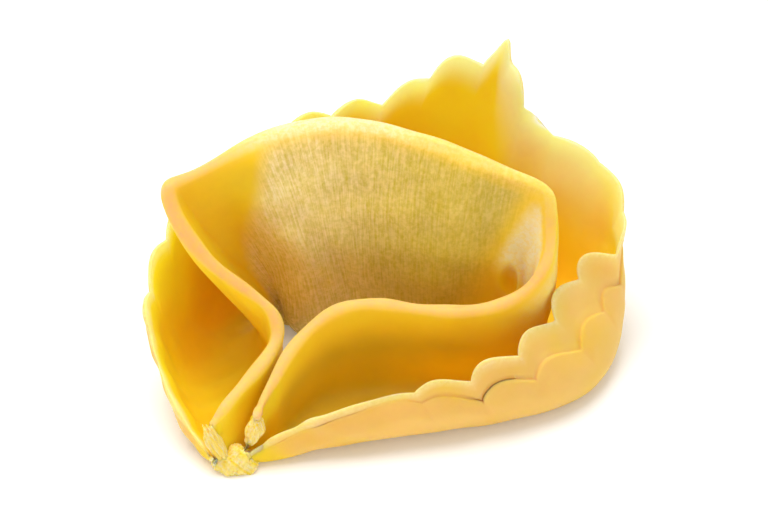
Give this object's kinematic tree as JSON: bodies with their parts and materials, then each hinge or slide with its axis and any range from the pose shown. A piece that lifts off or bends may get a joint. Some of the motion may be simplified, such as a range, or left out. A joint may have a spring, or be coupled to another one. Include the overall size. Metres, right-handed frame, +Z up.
{
  "type": "tortellino",
  "caption": "Filled egg pasta piece: a fluted square folded over its filling, bent into a ring and pinched, with the sealed border standing up as a scalloped brim.",
  "frame": {"origin": "on the surface it lies on, under the middle of its bounding box", "axes": "+X along the longest side, from the folded beak on the left to the pleated brim on the right; +Y from the pinched ends to the free corner at the back; +Z up"},
  "size_m": [0.0388, 0.0276, 0.023],
  "materials": {
    "egg_pasta": "matt, slightly translucent egg dough, greenish where the filling shows through"
  },
  "bodies": {
    "root": {"tortellino": "egg_pasta"}
  },
  "joints": []
}
